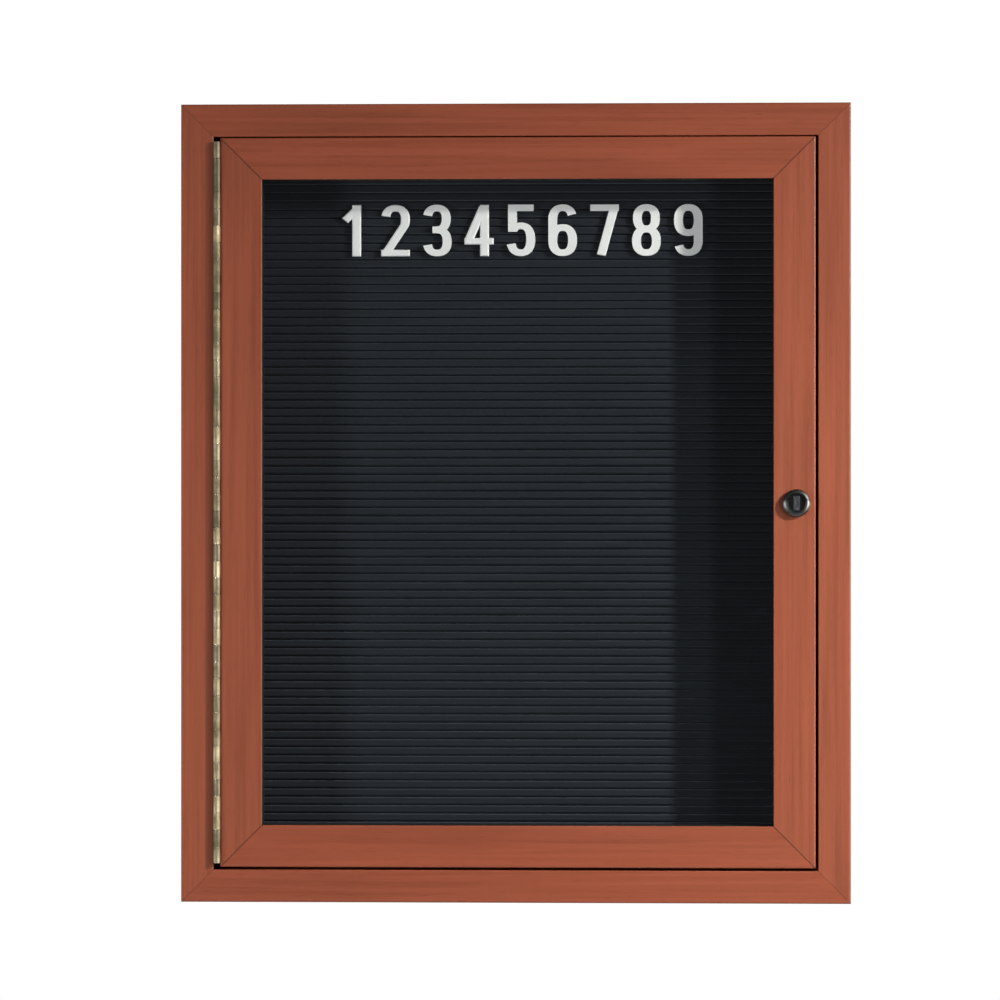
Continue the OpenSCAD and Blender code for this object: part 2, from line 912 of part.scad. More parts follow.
frame_top();
frame_bottom();
frame_left();
frame_right();
frame_corner_keys();
frame_key_screws();
back_panel();
back_panel_screws();
letter_panel();
door_seal();
hinge_fixed_leaf();
hinge_pin();
hinge_fixed_screws();
door_top();
door_bottom();
door_left();
door_right();
door_corner_keys();
door_key_screws();
glass_pane();
glazing_gasket();
hinge_door_leaf();
hinge_door_screws();
lock_housing();
lock_nut();
lock_plug();
lock_shutter();
lock_cam();
lock_cam_screw();
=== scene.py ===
import math

import bmesh
import bpy
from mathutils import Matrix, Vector, geometry


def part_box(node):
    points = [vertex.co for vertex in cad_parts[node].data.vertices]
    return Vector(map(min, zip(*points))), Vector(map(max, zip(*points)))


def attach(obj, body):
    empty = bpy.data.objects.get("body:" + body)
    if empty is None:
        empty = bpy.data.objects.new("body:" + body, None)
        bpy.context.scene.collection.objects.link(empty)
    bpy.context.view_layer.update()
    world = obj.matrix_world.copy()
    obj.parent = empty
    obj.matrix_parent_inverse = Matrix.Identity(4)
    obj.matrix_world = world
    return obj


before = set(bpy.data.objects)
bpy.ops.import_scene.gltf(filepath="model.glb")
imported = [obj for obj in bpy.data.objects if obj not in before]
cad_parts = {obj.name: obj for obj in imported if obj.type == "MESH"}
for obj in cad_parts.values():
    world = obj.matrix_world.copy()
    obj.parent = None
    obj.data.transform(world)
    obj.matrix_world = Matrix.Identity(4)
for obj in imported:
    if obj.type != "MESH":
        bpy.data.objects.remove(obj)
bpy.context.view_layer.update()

# ---------------------------------------------------------------------------
# Camera. It stands 3 m in front of the board's face, a little to the right of its middle and level with the
# lock, with a long lens that fills the square picture.

board_face_y = -0.057
camera_distance = 3.0
camera_yaw = math.radians(1.87)
sensor_mm = 36
lens_mm = 142.5
aimed_at = Vector((-0.01145, board_face_y, 0.0024))

camera = bpy.data.objects.new("camera", bpy.data.cameras.new("camera"))
camera.data.sensor_width = sensor_mm
camera.data.lens = lens_mm
camera.location = aimed_at + camera_distance * Vector((math.sin(camera_yaw), -math.cos(camera_yaw), 0))
camera.rotation_euler = (math.radians(90), 0, camera_yaw)
camera.data.clip_start = 0.05
camera.data.clip_end = 50
bpy.context.scene.collection.objects.link(camera)
bpy.context.scene.camera = camera
bpy.context.scene.view_settings.view_transform = "Standard"
bpy.context.scene.view_settings.look = "None"

# ---------------------------------------------------------------------------
# Studio. White background and a dim room. On the right stand a distant key light, a near one whose beam falls
# low, and two cards of light; on the left one card; behind, a fill for the cabinet's back. None of them is
# where the pane would mirror it to the camera. The floor is matt paper, well below the board.


def linear(code):
    """Linear colour of an sRGB hex value."""
    parts = [int(code[i : i + 2], 16) / 255 for i in (1, 3, 5)]
    return (*[c / 12.92 if c <= 0.04045 else ((c + 0.055) / 1.055) ** 2.4 for c in parts], 1)


def add(tree, kind, links=None, stops=None, **settings):
    """Adds a node. links feed its inputs, stops set a ramp's colours, settings set its inputs or properties.

    A name such as input1 stands for an input by its number. A Mix node's inputs 2 and 3 are its two numbers,
    6 and 7 its two colours, and its output 2 is the mixed colour."""
    node = tree.nodes.new(kind)
    for name, value in settings.items():
        label = name.replace("_", " ")
        if label in node.inputs:
            node.inputs[label].default_value = value
        elif name.startswith("input"):
            node.inputs[int(name[5:])].default_value = value
        else:
            setattr(node, name, value)
    if stops:
        ramp = node.color_ramp
        while len(ramp.elements) < len(stops):
            ramp.elements.new(1)
        for element, (place, colour) in zip(ramp.elements, stops):
            element.position = place
            element.color = colour
    for name, source in (links or {}).items():
        tree.links.new(source, node.inputs[name])
    return node


def empty_material(name):
    """A material with no nodes, and its tree."""
    material = bpy.data.materials.new(name)
    material.use_nodes = True
    material.node_tree.nodes.clear()
    return material, material.node_tree


# The lens sees white paper behind the board, a touch over white; the board itself is lit by the dim room
room_grey = linear("#4a4b4d")
world = bpy.data.worlds.new("studio")
world.use_nodes = True
world.node_tree.nodes.clear()
seen = add(world.node_tree, "ShaderNodeLightPath")
room = add(world.node_tree, "ShaderNodeBackground", Color=room_grey)
paper = add(world.node_tree, "ShaderNodeBackground", Color=(1, 1, 1, 1), Strength=1.02)
both = add(
    world.node_tree,
    "ShaderNodeMixShader",
    {0: seen.outputs["Is Camera Ray"], 1: room.outputs[0], 2: paper.outputs[0]},
)
add(world.node_tree, "ShaderNodeOutputWorld", {0: both.outputs[0]})
bpy.context.scene.world = world


def soft_box(name, place, width, height, watts, colour, aim=(0, board_face_y, 0), spread=180):
    """An area light at a place in the room, turned to face the board's middle or another aim."""
    lamp = bpy.data.lights.new(name, "AREA")
    lamp.shape = "RECTANGLE"
    lamp.size = width
    lamp.size_y = height
    lamp.energy = watts
    lamp.color = linear(colour)[:3]
    lamp.spread = math.radians(spread)
    light = bpy.data.objects.new(name, lamp)
    light.location = place
    light.rotation_euler = (Vector(aim) - light.location).to_track_quat("-Z", "Y").to_euler()
    bpy.context.scene.collection.objects.link(light)


# Each lamp's place, its width and height, all in metres, its watts and its colour
soft_box("key_light", (3.88, -2.0, 0.98), 0.12, 0.12, 42.5, "#fffbf8")
soft_box("near_beam", (1.336, -0.658, 0.61), 0.06, 0.06, 13.0, "#fffcf9", aim=(0.3, -0.3, -0.5), spread=90)
soft_box("right_card", (1.33, -1.058, 0.1), 0.15, 0.3, 5.7, "#fdfdff")
soft_box("low_right_card", (1.89, -1.558, -0.6), 0.2, 0.3, 6.2, "#fdfdff")
soft_box("left_card", (-1.28, -0.78, -0.15), 0.2, 0.3, 9.6, "#fbfcff")
soft_box("rear_fill", (-1.0, 2.0, 1.3), 1.3, 1.3, 26, "#ffffff")

floor_z = -1.2
floor_radius = 0.8
floor_sides = 96
disc = bmesh.new()
bmesh.ops.create_circle(disc, cap_ends=True, radius=floor_radius, segments=floor_sides)
floor_mesh = bpy.data.meshes.new("floor")
disc.to_mesh(floor_mesh)
disc.free()
floor = bpy.data.objects.new("floor", floor_mesh)
floor.location.z = floor_z
bpy.context.scene.collection.objects.link(floor)

# Matt photographic paper: pale, with the faintest mottle 17 mm across, so no highlight shows on it
matt_paper, tree = empty_material("matt_backdrop_paper")
place = add(tree, "ShaderNodeTexCoord")
mottle = add(tree, "ShaderNodeTexNoise", {"Vector": place.outputs["Object"]}, Scale=60, Detail=2)
paper_tone = add(
    tree,
    "ShaderNodeValToRGB",
    {0: mottle.outputs[0]},
    stops=[(0.3, linear("#e6e6e4")), (0.7, linear("#ececea"))],
)
sheet = add(tree, "ShaderNodeBsdfPrincipled", {"Base Color": paper_tone.outputs[0]}, Roughness=0.9)
add(tree, "ShaderNodeOutputMaterial", {0: sheet.outputs[0]})
floor.data.materials.append(matt_paper)

# ---------------------------------------------------------------------------
# Outer rails. Four aluminium extrusions, mitred at the corners, wrapped in a satin PVC film that is printed
# and lightly embossed as cherry wood. The film covers the face and the outer walls; the channels stay bare.
# To the eye it is a flat, even red-brown with a long soft figure and a satin gloss that the pores break up.


def cherry_film(name, along, dark, mid, light, mitre, bare=None, lip=None):
    """Printed cherry film on an extrusion, its grain along X or Z.

    mitre gives the middle and half size of the four members' outline and how dark the mitre's line is.
    bare gives, for each axis, how far from the middle the film ends and the bare metal starts.
    lip gives how far inside the outline, and how deep, the lip that is painted black starts."""
    material, tree = empty_material(name)
    place = add(tree, "ShaderNodeTexCoord").outputs["Object"]
    by_axis = add(tree, "ShaderNodeSeparateXYZ", {0: place}).outputs

    def stretched(across, length, shift):
        # Coordinates in which one unit is the given size across and along the grain, in millimetres
        step = [1000 / across] * 3
        step["XYZ".index(along)] = 1000 / length
        return add(
            tree, "ShaderNodeMapping", {"Vector": place}, Scale=step, Location=(shift, shift, shift)
        ).outputs[0]

    # Broad figure, 26 mm wide and 240 mm long, as on flat-sawn cherry
    figure = add(
        tree, "ShaderNodeTexNoise", {"Vector": stretched(26, 240, 3.1)}, Scale=1, Detail=2, Distortion=0.7
    )
    # Growth lines: real ones are 1 to 2 mm apart; they are drawn 3 mm apart to show in the render
    growth = add(
        tree, "ShaderNodeTexNoise", {"Vector": stretched(3, 150, 7.7)}, Scale=1, Detail=3, Distortion=0.35
    )
    # Pores: real ones are 0.1 mm wide; they are drawn as streaks 0.7 mm wide and 14 mm long
    pores = add(tree, "ShaderNodeTexNoise", {"Vector": stretched(0.7, 14, 1.3)}, Scale=1, Detail=1)
    streaks = add(
        tree,
        "ShaderNodeMix",
        {2: figure.outputs[0], 3: growth.outputs[0]},
        data_type="FLOAT",
        input0=0.5,
    )
    wood = add(
        tree,
        "ShaderNodeValToRGB",
        {0: streaks.outputs[0]},
        stops=[(0.34, linear(dark)), (0.5, linear(mid)), (0.68, linear(light))],
    )
    pore_depth = add(
        tree,
        "ShaderNodeMapRange",
        {"Value": pores.outputs[0]},
        From_Min=0.28,
        From_Max=0.42,
        To_Min=0.86,
        To_Max=1.0,
    )
    printed = add(
        tree,
        "ShaderNodeMix",
        {6: wood.outputs[0], 7: pore_depth.outputs[0]},
        data_type="RGBA",
        blend_type="MULTIPLY",
        input0=1,
    )
    # The cut edges of the film draw a soft dark line, 0.9 mm wide, along each mitre
    middle, half, shade = mitre
    out = add(tree, "ShaderNodeVectorMath", {0: place}, operation="SUBTRACT", input1=middle)
    out = add(tree, "ShaderNodeVectorMath", {0: out.outputs[0]}, operation="ABSOLUTE")
    out = add(tree, "ShaderNodeVectorMath", {0: out.outputs[0]}, operation="SUBTRACT", input1=half)
    out = add(tree, "ShaderNodeSeparateXYZ", {0: out.outputs[0]})
    off = add(tree, "ShaderNodeMath", {0: out.outputs["X"], 1: out.outputs["Z"]}, operation="SUBTRACT")
    off = add(tree, "ShaderNodeMath", {0: off.outputs[0]}, operation="ABSOLUTE")
    joint_line = add(
        tree,
        "ShaderNodeMapRange",
        {"Value": off.outputs[0]},
        interpolation_type="SMOOTHSTEP",
        From_Min=0.0002,
        From_Max=0.0011,
        To_Min=shade,
        To_Max=1.0,
    )
    printed = add(
        tree,
        "ShaderNodeMix",
        {6: printed.outputs[2], 7: joint_line.outputs[0]},
        data_type="RGBA",
        blend_type="MULTIPLY",
        input0=1,
    )
    if lip:
        # The lip behind the pane is painted black, so that it doesn't mirror in the glass
        inside, behind = lip
        within = [
            add(tree, "ShaderNodeMath", {0: reach}, operation=test, input1=limit)
            for reach, test, limit in (
                (out.outputs["X"], "LESS_THAN", -inside),
                (out.outputs["Z"], "LESS_THAN", -inside),
                (by_axis["Y"], "GREATER_THAN", behind),
            )
        ]
        painted = within[0]
        for other in within[1:]:
            painted = add(
                tree, "ShaderNodeMath", {0: painted.outputs[0], 1: other.outputs[0]}, operation="MINIMUM"
            )
        printed = add(
            tree,
            "ShaderNodeMix",
            {0: painted.outputs[0], 6: printed.outputs[2]},
            data_type="RGBA",
            input7=linear("#151414"),
        )
    gloss = add(
        tree,
        "ShaderNodeMapRange",
        {"Value": growth.outputs[0]},
        From_Min=0.3,
        From_Max=0.7,
        To_Min=0.44,
        To_Max=0.54,
    )
    emboss = add(
        tree,
        "ShaderNodeBump",
        {"Height": pores.outputs[0]},
        Strength=0.3,
        Distance=0.00012,
    )
    film = add(
        tree,
        "ShaderNodeBsdfPrincipled",
        {"Base Color": printed.outputs[2], "Roughness": gloss.outputs[0], "Normal": emboss.outputs[0]},
        IOR=1.5,
    )
    surface = film
    if bare:
        # Mill-finish aluminium, extruded: pale grey with die lines along the rail, inside the channels. The
        # lines are some 0.1 mm apart; they are drawn 0.8 mm apart
        die_lines = add(tree, "ShaderNodeTexNoise", {"Vector": stretched(0.8, 400, 5.5)}, Scale=1, Detail=2)
        mill_grey = add(
            tree,
            "ShaderNodeValToRGB",
            {0: die_lines.outputs[0]},
            stops=[(0.3, linear("#a9abad")), (0.7, linear("#c6c8ca"))],
        )
        mill = add(
            tree,
            "ShaderNodeBsdfPrincipled",
            {"Base Color": mill_grey.outputs[0]},
            Metallic=1,
            Roughness=0.42,
        )
        beyond = []
        for axis, limit in bare.items():
            far = add(tree, "ShaderNodeMath", {0: by_axis[axis]}, operation="ABSOLUTE")
            beyond.append(
                add(tree, "ShaderNodeMath", {0: far.outputs[0]}, operation="GREATER_THAN", input1=limit)
            )
        covered = beyond[0]
        for other in beyond[1:]:
            covered = add(
                tree, "ShaderNodeMath", {0: covered.outputs[0], 1: other.outputs[0]}, operation="MAXIMUM"
            )
        surface = add(
            tree, "ShaderNodeMixShader", {0: covered.outputs[0], 1: mill.outputs[0], 2: film.outputs[0]}
        )
    add(tree, "ShaderNodeOutputMaterial", {0: surface.outputs[0]})
    return material


def outline(*names):
    """Middle and half size of the box round several nodes."""
    boxes = [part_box(name) for name in names]
    low = [min(box[0][i] for box in boxes) for i in range(3)]
    high = [max(box[1][i] for box in boxes) for i in range(3)]
    return [(a + b) / 2 for a, b in zip(low, high)], [(b - a) / 2 for a, b in zip(low, high)]


def dress(material, *names):
    """Gives carried-over solids their finish."""
    for name in names:
        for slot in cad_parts[name].material_slots:
            slot.material = material


# The film reaches in by 0.5 mm from the outer walls and to just behind the stop lip's face
film_limits = {"X": 0.2535, "Y": 0.0352, "Z": 0.3025}
# The upright members' film is a touch paler in green and blue than the level members': painted sheen, for the
# side light glancing off upright grain
level_woods = ("#88442c", "#944a30", "#9e4f34")
upright_woods_with_painted_sheen = ("#88462e", "#944c32", "#9e5136")
frame_mitre_shade = 0.88
frame_mitre = (*outline("frame_top", "frame_bottom", "frame_left", "frame_right"), frame_mitre_shade)
level_film = cherry_film("cherry_film_level_rails", "X", *level_woods, frame_mitre, film_limits)
upright_film = cherry_film("cherry_film_upright_rails", "Z", *upright_woods_with_painted_sheen, frame_mitre, film_limits)
dress(level_film, "frame_top", "frame_bottom")
dress(upright_film, "frame_left", "frame_right")

# ---------------------------------------------------------------------------
# Corner keys and their set screws. Stamped steel angles, zinc plated, that slide into the rails' key channels
# and are spread there by black-oxide set screws, out of sight inside the corners.


def steel_finish(name, dark, light, roughness, cloud):
    """Plated, blackened or bright steel, with soft clouds of the given size in millimetres."""
    material, tree = empty_material(name)
    place = add(tree, "ShaderNodeTexCoord").outputs["Object"]
    clouds = add(tree, "ShaderNodeTexNoise", {"Vector": place}, Scale=1000 / cloud, Detail=3)
    tone = add(
        tree,
        "ShaderNodeValToRGB",
        {0: clouds.outputs[0]},
        stops=[(0.32, linear(dark)), (0.68, linear(light))],
    )
    dullness = add(
        tree,
        "ShaderNodeMapRange",
        {"Value": clouds.outputs[0]},
        From_Min=0.3,
        From_Max=0.7,
        To_Min=roughness - 0.06,
        To_Max=roughness + 0.08,
    )
    skin = add(
        tree,
        "ShaderNodeBsdfPrincipled",
        {"Base Color": tone.outputs[0], "Roughness": dullness.outputs[0]},
        Metallic=1,
    )
    add(tree, "ShaderNodeOutputMaterial", {0: skin.outputs[0]})
    return material


# Zinc plating is a dull blue-grey, smoother on turned screws than on stamped parts
stamped_zinc = steel_finish("zinc_plated_stamped_steel", "#7c7f84", "#9a9da1", 0.66, 9)
turned_zinc = steel_finish("zinc_plated_screw_steel", "#73757a", "#94969a", 0.6, 4)
# Black oxide is a thin conversion coat: the steel stays dark grey with a faint oily sheen
black_oxide = steel_finish("black_oxide_steel", "#3b3c3f", "#55565a", 0.36, 3)
dress(stamped_zinc, "frame_corner_keys")
dress(black_oxide, "frame_key_screws")

# ---------------------------------------------------------------------------
# Back panel and its screws. Tempered hardboard, pressed from brown wood fibre with one smooth face, let into
# the rails' rear rebate and held by countersunk zinc-plated screws. It looks warm brown, flecked and waxy.

hardboard, tree = empty_material("tempered_hardboard")
place = add(tree, "ShaderNodeTexCoord").outputs["Object"]
# Fibre bundles are about 1 mm long and 0.2 mm thick; the flecks are drawn 2.5 mm across
flecks = add(tree, "ShaderNodeTexNoise", {"Vector": place}, Scale=400, Detail=4, Roughness=0.7)
# The press leaves darker and lighter patches some 110 mm wide
patches = add(tree, "ShaderNodeTexNoise", {"Vector": place}, Scale=9, Detail=2)
pressed = add(
    tree, "ShaderNodeMix", {2: patches.outputs[0], 3: flecks.outputs[0]}, data_type="FLOAT", input0=0.55
)
fibre = add(
    tree,
    "ShaderNodeValToRGB",
    {0: pressed.outputs[0]},
    stops=[(0.35, linear("#5e4631")), (0.52, linear("#75583d")), (0.68, linear("#8a6b4b"))],
)
nap = add(tree, "ShaderNodeBump", {"Height": flecks.outputs[0]}, Strength=0.25, Distance=0.0002)
board = add(
    tree,
    "ShaderNodeBsdfPrincipled",
    {"Base Color": fibre.outputs[0], "Normal": nap.outputs[0]},
    Roughness=0.62,
)
add(tree, "ShaderNodeOutputMaterial", {0: board.outputs[0]})
dress(hardboard, "back_panel")
dress(turned_zinc, "back_panel_screws")

# ---------------------------------------------------------------------------
# Letter panel. Moulded core with a level groove every 6.35 mm, covered with black flocked felt that is
# pressed into the grooves. The pile takes nearly all light but for a faint bloom at grazing angles.

panel_low, panel_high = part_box("letter_panel")
panel_face_y = panel_low.y
groove_pitch = 0.00635

flock, tree = empty_material("flocked_felt")
place = add(tree, "ShaderNodeTexCoord").outputs["Object"]
# Fibres are 0.02 mm thick; their tufts are drawn 0.8 mm across
tufts = add(tree, "ShaderNodeTexNoise", {"Vector": place}, Scale=1250, Detail=2)
# The pile lies a little differently on each land: strips one groove pitch high and some 90 mm long
lay = add(tree, "ShaderNodeMapping", {"Vector": place}, Scale=(11, 11, 1 / groove_pitch))
strips = add(tree, "ShaderNodeTexNoise", {"Vector": lay.outputs[0]}, Scale=1, Detail=3)
pile_mix = add(
    tree, "ShaderNodeMix", {2: strips.outputs[0], 3: tufts.outputs[0]}, data_type="FLOAT", input0=0.35
)
black = add(
    tree,
    "ShaderNodeValToRGB",
    {0: pile_mix.outputs[0]},
    stops=[(0.36, linear("#11151a")), (0.64, linear("#1a1e24"))],
)
# In the grooves, from 0.7 to 1.5 mm below the lands, the felt is painted up to twice as light: painted light
# that softens the grooves' shade
inward = add(tree, "ShaderNodeSeparateXYZ", {0: place})
painted_groove_light = add(
    tree,
    "ShaderNodeMapRange",
    {"Value": inward.outputs["Y"]},
    From_Min=panel_face_y + 0.0007,
    From_Max=panel_face_y + 0.0015,
    To_Min=1.0,
    To_Max=2.0,
)
felt_and_groove_light = add(
    tree,
    "ShaderNodeMix",
    {6: black.outputs[0], 7: painted_groove_light.outputs[0]},
    data_type="RGBA",
    blend_type="MULTIPLY",
    input0=1,
)
fuzz = add(tree, "ShaderNodeBump", {"Height": tufts.outputs[0]}, Strength=0.5, Distance=0.0004)
felt = add(
    tree,
    "ShaderNodeBsdfPrincipled",
    {"Base Color": felt_and_groove_light.outputs[2], "Normal": fuzz.outputs[0]},
    Roughness=0.95,
    Specular_IOR_Level=0.1,
    Sheen_Weight=0.35,
    Sheen_Roughness=0.6,
    Sheen_Tint=linear("#a2abb8"),
)
add(tree, "ShaderNodeOutputMaterial", {0: felt.outputs[0]})
dress(flock, "letter_panel")

# ---------------------------------------------------------------------------
# Push-in characters. Nine plain digits moulded in white styrene, 39.5 mm high, each with two rows of prongs
# at the back that grip in the panel's grooves.

digit_height = 0.0395
digit_half_width = 0.011
digit_thickness = 0.003
digit_edge = 0.0011
upright_stroke = 0.0034
level_stroke = 0.0025
# Middle of the row and of its first digit
row_z = 0.2093
first_x = -0.1251
digit_pitch = 0.0321
top = digit_height / 2
half_w = digit_half_width - upright_stroke
half_h = top - level_stroke
squareness = 0.84
prong_margin = 0.0012
# Depth behind the panel's face, half width and half height of a prong, from its root to its tip
prong_rings = ((-0.0004, 0.0015, 0.0007), (0.0012, 0.0015, 0.0007), (0.0042, 0.0011, 0.0004))


def bow(cx, cz, rx, rz, start, stop, steps=28):
    """Points along a squarish ellipse, as in a plain grotesque digit."""
    points = []
    for i in range(steps + 1):
        angle = math.radians(start + (stop - start) * i / steps)
        c, s = math.cos(angle), math.sin(angle)
        points.append(
            (
                cx + rx * math.copysign(abs(c) ** squareness, c),
                cz + rz * math.copysign(abs(s) ** squareness, s),
            )
        )
    return points


def stroke_pieces(points):
    """Four-sided pieces of a stroke drawn with a pen that is wider for uprights than for level lines."""
    edges = []
    for i, (x, z) in enumerate(points):
        before, after = points[max(i - 1, 0)], points[min(i + 1, len(points) - 1)]
        dx, dz = after[0] - before[0], after[1] - before[1]
        length = math.hypot(dx, dz)
        nx, nz = -dz / length * upright_stroke, dx / length * level_stroke
        edges.append(((x + nx, z + nz), (x - nx, z - nz)))
    return [(a[0], a[1], b[1], b[0]) for a, b in zip(edges, edges[1:])]


# The pen's path in each stroke, in metres from the digit's middle
six = [
    bow(0, -0.44 * half_h, half_w, 0.56 * half_h, 0, 360, 48),
    [(-half_w, -0.44 * half_h), (-half_w, 0.45 * half_h)]
    + bow(0, 0.45 * half_h, half_w, 0.55 * half_h, 180, 22)[1:],
]
digit_strokes = {
    "1": [[(0.0022, -top), (0.0022, top)], [(-0.0068, 0.45 * half_h), (0.002, 0.93 * half_h)]],
    "2": [
        bow(0, 0.5 * half_h, half_w, 0.5 * half_h, 168, -32) + [(-0.9 * half_w, -0.96 * half_h)],
        [(-digit_half_width, -half_h), (digit_half_width, -half_h)],
    ],
    "3": [
        bow(-0.0003, 0.52 * half_h, 0.95 * half_w, 0.48 * half_h, 166, -90),
        bow(0, -0.49 * half_h, half_w, 0.51 * half_h, 90, -166),
        [(-0.0036, 0.03 * half_h), (0.001, 0.03 * half_h)],
    ],
    "4": [
        [(0.0042, -top), (0.0042, top)],
        [(-0.0112, -0.48 * half_h), (0.0112, -0.48 * half_h)],
        [(-0.008, -0.44 * half_h), (0.0032, 1.03 * half_h)],
    ],
    "5": [
        [(-0.0098, half_h), (0.0098, half_h)],
        [(-0.0064, top), (-0.0064, -0.06 * half_h)],
        bow(0, -0.4 * half_h, half_w, 0.6 * half_h, 140, -164),
    ],
    "6": six,
    "7": [
        [(-digit_half_width, half_h), (digit_half_width, half_h)],
        [(0.0074, half_h), (-0.0026, 0.0006 - top)],
    ],
    "8": [
        bow(0, 0.53 * half_h, 0.91 * half_w, 0.47 * half_h, 0, 360, 48),
        bow(0, -0.48 * half_h, half_w, 0.52 * half_h, 0, 360, 48),
    ],
    "9": [[(-x, -z) for x, z in stroke] for stroke in six],
}


def prong_places(strokes, z):
    """Places of the prongs behind a digit: where its strokes cross the lowest and the highest groove."""
    middle = (panel_low.z + panel_high.z) / 2 - z
    first = math.ceil((prong_margin - top - middle) / groove_pitch + 0.5)
    last = math.floor((top - prong_margin - middle) / groove_pitch + 0.5)
    places = []
    for groove in (middle + (n - 0.5) * groove_pitch for n in (first, last)):
        crossed = []
        for points in strokes:
            for a, b in zip(points, points[1:]):
                if min(a[1], b[1]) <= groove <= max(a[1], b[1]) and a[1] != b[1]:
                    crossed.append(a[0] + (b[0] - a[0]) * (groove - a[1]) / (b[1] - a[1]))
                elif abs(a[1] - groove) < level_stroke and a[1] == b[1]:
                    crossed.append((a[0] + b[0]) / 2)
        places += [(x, groove) for x in {min(crossed), max(crossed)}]
    return places


def moulded_digit(name, strokes, x, z):
    """A digit as one closed solid with eased edges: the union of its strokes, drawn out to its thickness."""
    quads = [quad for points in strokes for quad in stroke_pieces(points)]
    corners = [Vector(corner) for quad in quads for corner in quad]
    loops = [list(range(4 * i, 4 * i + 4)) for i in range(len(quads))]
    places, _, triangles, _, _, covered_by = geometry.delaunay_2d_cdt(corners, [], loops, 1, 1e-6)
    front_y = panel_face_y - digit_thickness
    mesh = bmesh.new()
    verts = [mesh.verts.new((x + p.x, front_y, z + p.y)) for p in places]
    for triangle, quads_there in zip(triangles, covered_by):
        if quads_there:
            mesh.faces.new([verts[i] for i in triangle])
    bmesh.ops.delete(mesh, geom=[v for v in mesh.verts if not v.link_faces], context="VERTS")
    bmesh.ops.remove_doubles(mesh, verts=mesh.verts, dist=2e-5)
    bmesh.ops.recalc_face_normals(mesh, faces=mesh.faces)
    if sum(f.normal.y for f in mesh.faces) > 0:
        bmesh.ops.reverse_faces(mesh, faces=mesh.faces)
    bmesh.ops.dissolve_limit(mesh, angle_limit=0.02, verts=mesh.verts, edges=mesh.edges)
    drawn = bmesh.ops.extrude_face_region(mesh, geom=mesh.faces[:], use_keep_orig=True)
    back = [v for v in drawn["geom"] if isinstance(v, bmesh.types.BMVert)]
    bmesh.ops.translate(mesh, verts=back, vec=(0, digit_thickness, 0))
    bmesh.ops.recalc_face_normals(mesh, faces=mesh.faces)
    # Only the front outline is eased: the edges at the face where the surface turns by more than a radian
    rim = [
        e
        for e in mesh.edges
        if len(e.link_faces) == 2
        and e.calc_face_angle() > 1
        and all(abs(v.co.y - front_y) < 1e-6 for v in e.verts)
    ]
    bmesh.ops.bevel(
        mesh, geom=rim, offset=digit_edge, segments=3, profile=0.5, affect="EDGES", clamp_overlap=True
    )
    for px, pz in prong_places(strokes, z):
        # Each prong starts just inside the digit and tapers into the groove
        rings = [
            [
                mesh.verts.new((x + px + half_wide * i, panel_face_y + depth, z + pz + half_tall * k))
                for i, k in ((-1, -1), (1, -1), (1, 1), (-1, 1))
            ]
            for depth, half_wide, half_tall in prong_rings
        ]
        for near, far in zip(rings, rings[1:]):
            for i in range(4):
                mesh.faces.new((near[i], near[(i + 1) % 4], far[(i + 1) % 4], far[i]))
        mesh.faces.new(rings[0][::-1])
        mesh.faces.new(rings[-1])
    bmesh.ops.recalc_face_normals(mesh, faces=mesh.faces)
    shape = bpy.data.meshes.new(name)
    mesh.to_mesh(shape)
    mesh.free()
    digit = bpy.data.objects.new(name, shape)
    bpy.context.scene.collection.objects.link(digit)
    return digit


# Styrene, injection moulded: clean white with a soft gloss, and flow marks 8 mm across that hardly show
styrene, tree = empty_material("white_moulded_styrene")
place = add(tree, "ShaderNodeTexCoord").outputs["Object"]
flow = add(tree, "ShaderNodeTexNoise", {"Vector": place}, Scale=120, Detail=2)
white = add(
    tree,
    "ShaderNodeValToRGB",
    {0: flow.outputs[0]},
    stops=[(0.3, linear("#f6f8f9")), (0.7, linear("#fcfdfd"))],
)
plastic = add(
    tree,
    "ShaderNodeBsdfPrincipled",
    {"Base Color": white.outputs[0]},
    Roughness=0.34,
    IOR=1.59,
)
add(tree, "ShaderNodeOutputMaterial", {0: plastic.outputs[0]})

for count, figure in enumerate("123456789"):
    digit = moulded_digit("digit_" + figure, digit_strokes[figure], first_x + count * digit_pitch, row_z)
    digit.data.materials.append(styrene)
    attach(digit, "cabinet")

# ---------------------------------------------------------------------------
# Seal on the stop lip. Woven pile strip in near-black, stuck to the lip's face, that the door closes on. The
# pile swallows the light, so the strip is a matt, faintly ribbed line.

pile, tree = empty_material("woven_pile_strip")
place = add(tree, "ShaderNodeTexCoord").outputs["Object"]
# Rows of pile are about 0.5 mm apart; they are drawn 1 mm apart
rows = add(tree, "ShaderNodeTexNoise", {"Vector": place}, Scale=1000, Detail=1)
pile_tone = add(
    tree,
    "ShaderNodeValToRGB",
    {0: rows.outputs[0]},
    stops=[(0.35, linear("#232425")), (0.65, linear("#3d3f40"))],
)
pile_bump = add(tree, "ShaderNodeBump", {"Height": rows.outputs[0]}, Strength=0.7, Distance=0.0004)
fibres = add(
    tree,
    "ShaderNodeBsdfPrincipled",
    {"Base Color": pile_tone.outputs[0], "Normal": pile_bump.outputs[0]},
    Roughness=0.9,
    Specular_IOR_Level=0.2,
)
add(tree, "ShaderNodeOutputMaterial", {0: fibres.outputs[0]})
dress(pile, "door_seal")

# ---------------------------------------------------------------------------
# Continuous hinge. Two leaves rolled from nickel-brass strip round a steel wire, screwed to the frame's and
# the door's edges. The barrel is bright on top of its roll, with draw lines along it and a little tarnish.

pin_low, pin_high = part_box("hinge_pin")
leaf_low, leaf_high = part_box("hinge_fixed_leaf")
barrel_length = leaf_high.z - leaf_low.z
# The barrel is 5.2 mm across: what lies within 2.9 mm of the pin's axis is barrel, the rest is leaf
barrel_reach = 0.0029
knuckle_count = 43
knuckle_step = barrel_length / knuckle_count

nickel_brass, tree = empty_material("rolled_nickel_brass")
place = add(tree, "ShaderNodeTexCoord").outputs["Object"]
